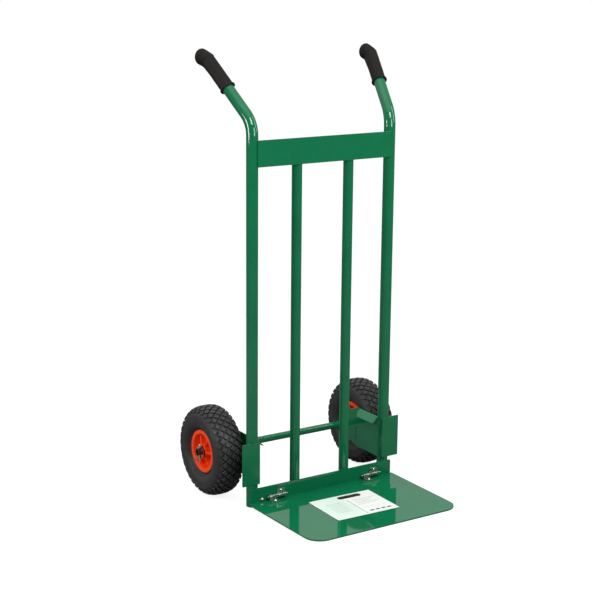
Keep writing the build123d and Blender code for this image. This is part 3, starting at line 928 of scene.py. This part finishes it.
def straight_welds():
    """Start and end of every straight bead on the right-hand half of the frame."""
    plate_low, plate_high = TOP_PLATE_LOW + 0.004, TOP_PLATE_HIGH - 0.004
    flange_high = FLANGE_TOP - 0.002
    rows = tube_beads(BAR_X, BAR_R, BAR_LOW + 0.003, flange_high)
    rows += tube_beads(BAR_X, BAR_R, plate_low, BAR_HIGH - 0.003)
    rows += tube_beads(UPRIGHT_X, UPRIGHT_R, 0.002, flange_high)
    rows += tube_beads(UPRIGHT_X, UPRIGHT_R, plate_low, plate_high)[:1]
    rows += tube_beads(UPRIGHT_X, UPRIGHT_R, BRACKET_LOW + 0.006, BRACKET_HIGH - 0.006)[1:]
    x, y = WEB_OUT + UPRIGHT_R * CREVICE_IN, UPRIGHT_R * CREVICE_OUT
    rows.append(((x, y, BRACKET_LOW + 0.01), (x, y, BRACKET_HIGH - 0.01)))
    x, y = WEB_IN, 0.108
    rows.append(((x, y, 0.076), (x, y, 0.12)))
    return rows


class HANDTRUCK_OT_welds(Operator):
    """Run the weld beads that join the tubes, plates, brackets and axle"""
    bl_idname = "handtruck.welds"
    bl_label = "Welds"

    def execute(self, context):
        weld = context.scene.hand_truck_weld
        for side, sign in SIDES:
            bm = bmesh.new()
            for start, end in straight_welds():
                join(bm, bead(weld, start, end))
            for x in (WEB_IN - 0.0002, WEB_OUT + 0.0002):
                join(bm, ring_bead(weld, x, AXLE_R + 0.0004))
            bmesh.ops.transform(bm, matrix=Matrix.Scale(sign, 4, (1, 0, 0)), verts=bm.verts)
            bmesh.ops.transform(bm, matrix=STANDING, verts=bm.verts)
            make_piece(side + "_welds", bm, ("Gloss enamel",), "frame", sharp=60)
        return {"FINISHED"}


# ---------------------------------------------------------------- frame, plates and fasteners
class HANDTRUCK_OT_frame(Operator):
    """Ease the edges of the sheet-steel pieces and paint the frame"""
    bl_idname = "handtruck.frame"
    bl_label = "Frame and plates"

    def execute(self, context):
        repaint("Gloss enamel", "left_upright", "right_upright", "left_bar", "right_bar")
        thin = 0.0006
        thick = 0.0008
        sheets = [("top_plate", "frame", thin, "Gloss enamel"),
                  ("base_flange", "frame", thin, "Gloss enamel"),
                  ("toe_plate", "toe_plate", thick, "Gloss enamel on plate")]
        for side, _ in SIDES:
            sheets.append((side + "_wheel_bracket", "frame", thin, "Gloss enamel"))
            sheets.append((side + "_wing_plate", "frame", thin, "Gloss enamel on sheet"))
        for node, body, width, entry in sheets:
            bm = copied(node)
            ease(bm, width)
            piece = make_piece(node + "_sheet", bm, (entry,), body, (node,))
            piece.modifiers.new("Flat faces", "WEIGHTED_NORMAL").keep_sharp = True
        return {"FINISHED"}


class HANDTRUCK_OT_axle(Operator):
    """Paint the axle between the brackets and leave its ends bare"""
    bl_idname = "handtruck.axle"
    bl_label = "Axle"

    def execute(self, context):
        bm = copied("axle")
        painted = WEB_OUT + 0.001
        for sign in (-1, 1):
            bmesh.ops.bisect_plane(bm, geom=bm.verts[:] + bm.edges[:] + bm.faces[:],
                                   plane_co=(sign * painted, 0, 0), plane_no=(1, 0, 0))
        for face in bm.faces:
            face.material_index = 1 if abs(face.calc_center_median().x) > painted else 0
        make_piece("axle_tube", bm, ("Gloss enamel", "Oiled bare steel"), "frame",
                   ("axle",))
        repaint("Oiled bare steel", "axle_spacers")
        return {"FINISHED"}


class HANDTRUCK_OT_hinges(Operator):
    """Ease the hinge leaves and finish the hinges and bolts"""
    bl_idname = "handtruck.hinges"
    bl_label = "Hinges and bolts"

    def execute(self, context):
        for side, _ in SIDES:
            for leaf, body in (("flange", "frame"), ("plate", "toe_plate")):
                node = f"{side}_hinge_{leaf}_leaf"
                bm = copied(node)
                ease(bm, 0.0004)
                make_piece(node + "_stamping", bm, ("Oversprayed zinc",), body,
                           (node,))
        repaint("Oversprayed zinc", "left_hinge_pin", "right_hinge_pin")
        repaint("Bright zinc plating", "hinge_bolts", "hinge_rivets", "stop_bolt", "flange_nuts")
        return {"FINISHED"}


# ---------------------------------------------------------------- label
def printed_patch(x, y, width, height, corner, ink):
    """Flat patch of print on the label, from its middle and its size."""
    bm = bmesh.new()
    bmesh.ops.create_grid(bm, x_segments=1, y_segments=1, size=0.5)
    bmesh.ops.scale(bm, vec=(width, height, 1), verts=bm.verts)
    if corner:
        bevel(bm, bm.verts[:], corner, 5, "VERTICES")
    film = 0.00004
    raised(bm, film * (ink + 1))
    bmesh.ops.translate(bm, vec=(x, y, 0), verts=bm.verts)
    for face in bm.faces:
        face.material_index = ink
    return bm


def label_patches():
    """Plain print on the label: a tinted panel, a divider, a bar, ruled lines and small boxes."""
    tint, grey, dark = range(3)
    width, depth = LABEL_SIZE
    margin = 0.006
    panel_x = -width / 4
    panel = width / 2 - 2 * margin
    text_x = width / 4
    line = width / 2 - 4 * margin
    rows = [(panel_x, 0, panel, depth - 2 * margin, 0.002, tint),
            (0, -depth * 0.12, 0.0014, depth * 0.7, 0, dark),
            (width * 0.11, depth * 0.385, width * 0.38, 0.019, 0.009, dark)]
    for i in range(5):
        shorter = line * (1 - 0.16 * (i % 3))
        y = depth * (0.2 - 0.06 * i)
        rows.append((text_x - (line - shorter) / 2, y, shorter, 0.0018, 0, grey))
    for i in range(4):
        x = text_x + line * (i - 1.5) / 4
        rows.append((x, -depth * 0.2, line / 7, line / 7, 0.002, tint))
        rows.append((x, -depth * 0.38, line / 6, line / 12, 0.001, dark))
    for i in range(7):
        rows.append((panel_x, depth * (0.2 - 0.07 * i), panel * 0.56, 0.002, 0, grey))
    return rows


class HANDTRUCK_OT_label(Operator):
    """Lay the blank label with its plain printed panel and rules"""
    bl_idname = "handtruck.label"
    bl_label = "Label"

    def execute(self, context):
        repaint("Label film", "blank_label")
        bm = bmesh.new()
        for row in label_patches():
            join(bm, printed_patch(*row))
        place = Matrix.Translation((0, FACE_Y - LABEL_BACK, TOE_SHEET + LABEL_SHEET))
        turn = Matrix.Rotation(LABEL_TURN, 4, "Z")
        bmesh.ops.transform(bm, matrix=STANDING @ place @ turn, verts=bm.verts)
        make_piece("label_print", bm, ("Label tint", "Label rules", "Label ink"), "toe_plate")
        return {"FINISHED"}


# ---------------------------------------------------------------- stage
def place_camera(stage):
    """Camera that looks at its target from an azimuth, an elevation and a distance."""
    level = cos(stage.elevation)
    back = Vector((sin(stage.azimuth) * level, -cos(stage.azimuth) * level, sin(stage.elevation)))
    right = Vector((0, 0, 1)).cross(back).normalized()
    up = back.cross(right)
    turned = Matrix((right, up, back)).transposed() @ Matrix.Rotation(stage.roll, 3, "Z")
    data = bpy.data.cameras.new("camera")
    data.lens = stage.lens
    data.sensor_width = 36
    data.shift_x, data.shift_y = stage.shift
    data.clip_end = 100
    camera = shown("camera", data)
    at = Vector(stage.target) + back * stage.distance
    camera.matrix_world = Matrix.Translation(at) @ turned.to_4x4()
    bpy.context.scene.camera = camera


# Name of each light, its place, the height that it is aimed at, its width, height and watts.
LIGHTS = (
    ("left softbox", (-2.19, 0.2, 1.03), 1.03, 0.6, 0.52, 20),
    ("front strip", (0.3, -1.7, 1.22), 1.2, 0.7, 0.6, 12),
    ("right strip", (1.5, -0.9, 1.9), 1.9, 0.3, 1.6, 12),
    ("front softbox", (-0.5, -2.2, 2.5), 1.1, 1.1, 0.9, 46),
    ("overhead softbox", (-0.6, -0.5, 3.1), 0.6, 2.8, 2.4, 16),
)


def softbox(name, at, aim, width, height, power):
    """Rectangular softbox that faces the truck's middle line at a height."""
    data = bpy.data.lights.new(name, "AREA")
    data.shape = "RECTANGLE"
    data.size = width
    data.size_y = height
    data.energy = power
    facing = (Vector(at) - Vector((0, 0, aim))).to_track_quat("Z", "Y")
    shown(name, data).matrix_world = Matrix.Translation(at) @ facing.to_matrix().to_4x4()


def pale_floor():
    """Seamless pale floor, lit from beneath like a light table."""
    bm = bmesh.new()
    bmesh.ops.create_grid(bm, x_segments=1, y_segments=1, size=30)
    mesh = bpy.data.meshes.new("floor")
    bm.to_mesh(mesh)
    bm.free()
    material, tree, shader, _ = surface("Pale seamless floor", Roughness=0.9)
    shader.inputs["Base Color"].default_value = (0.22, 0.22, 0.22, 1)
    shader.inputs["Specular IOR Level"].default_value = 0
    shader.inputs["Emission Color"].default_value = (1, 1, 1, 1)
    view = add(tree, "ShaderNodeLightPath").outputs["Is Camera Ray"]
    glow = add(tree, "ShaderNodeMapRange", {"Value": view}, {"To Min": 0.0, "To Max": 0.88})
    tree.links.new(glow.outputs["Result"], shader.inputs["Emission Strength"])
    mesh.materials.append(material)
    floor = shown("floor", mesh)


def studio_world():
    """White cyclorama behind and above the truck that falls off towards the front and the floor."""
    world = bpy.data.worlds.new("studio")
    bpy.context.scene.world = world
    world.use_nodes = True
    tree = world.node_tree
    place = add(tree, "ShaderNodeTexCoord").outputs["Generated"]
    split = add(tree, "ShaderNodeSeparateXYZ", {"Vector": place})
    behind = add(tree, "ShaderNodeMapRange", {"Value": split.outputs["Y"]},
                 {"From Min": -0.2, "From Max": 0.6, "To Min": 0.08, "To Max": 0.62},
                 interpolation_type="SMOOTHSTEP")
    above = add(tree, "ShaderNodeMapRange", {"Value": split.outputs["Z"]},
                {"From Min": 0.3, "From Max": 0.95, "To Min": 0.0, "To Max": 0.55},
                interpolation_type="SMOOTHSTEP")
    glow = add(tree, "ShaderNodeMath", {0: behind.outputs["Result"], 1: above.outputs["Result"]},
               operation="ADD")
    view = add(tree, "ShaderNodeLightPath").outputs["Is Camera Ray"]
    seen = add(tree, "ShaderNodeMath", {0: glow.outputs["Value"], 1: view}, operation="MAXIMUM")
    backdrop = tree.nodes["Background"]
    tree.links.new(seen.outputs["Value"], backdrop.inputs["Strength"])
    backdrop.inputs["Color"].default_value = (1, 1, 1, 1)


class HANDTRUCK_OT_stage(Operator):
    """Set the pale floor, the soft studio lights and the camera"""
    bl_idname = "handtruck.stage"
    bl_label = "Stage"

    def execute(self, context):
        context.scene.view_settings.view_transform = "Standard"
        place_camera(context.scene.hand_truck_stage)
        pale_floor()
        studio_world()
        for light in LIGHTS:
            softbox(*light)
        return {"FINISHED"}


# ---------------------------------------------------------------- add-on
OPERATORS = (HANDTRUCK_OT_frame, HANDTRUCK_OT_axle, HANDTRUCK_OT_hinges, HANDTRUCK_OT_welds,
             HANDTRUCK_OT_rims, HANDTRUCK_OT_tyres, HANDTRUCK_OT_grips, HANDTRUCK_OT_label,
             HANDTRUCK_OT_stage)


class HANDTRUCK_PT_panel(Panel):
    """Lists the hand truck's sizes, colours and pieces"""
    bl_idname = "HANDTRUCK_PT_panel"
    bl_label = "Hand Truck"
    bl_space_type = "VIEW_3D"
    bl_region_type = "UI"
    bl_category = "Hand Truck"

    def draw(self, context):
        for attribute in GROUPS:
            group = getattr(context.scene, attribute)
            box = self.layout.box()
            for key in group.bl_rna.properties.keys():
                if key not in ("rna_type", "name"):
                    box.prop(group, key)
        for operator in OPERATORS:
            self.layout.operator(operator.bl_idname)


def register():
    """Add the property groups, the operators and the panel."""
    for attribute, group in GROUPS.items():
        bpy.utils.register_class(group)
        setattr(bpy.types.Scene, attribute, PointerProperty(type=group))
    for operator in OPERATORS:
        bpy.utils.register_class(operator)
    bpy.utils.register_class(HANDTRUCK_PT_panel)


def unregister():
    """Remove what register added."""
    bpy.utils.unregister_class(HANDTRUCK_PT_panel)
    for operator in reversed(OPERATORS):
        bpy.utils.unregister_class(operator)
    for attribute, group in reversed(GROUPS.items()):
        delattr(bpy.types.Scene, attribute)
        bpy.utils.unregister_class(group)


def main():
    """Make every piece in order."""
    register()
    for operator in OPERATORS:
        group, name = operator.bl_idname.split(".")
        getattr(getattr(bpy.ops, group), name)()


if __name__ == "__main__":
    main()
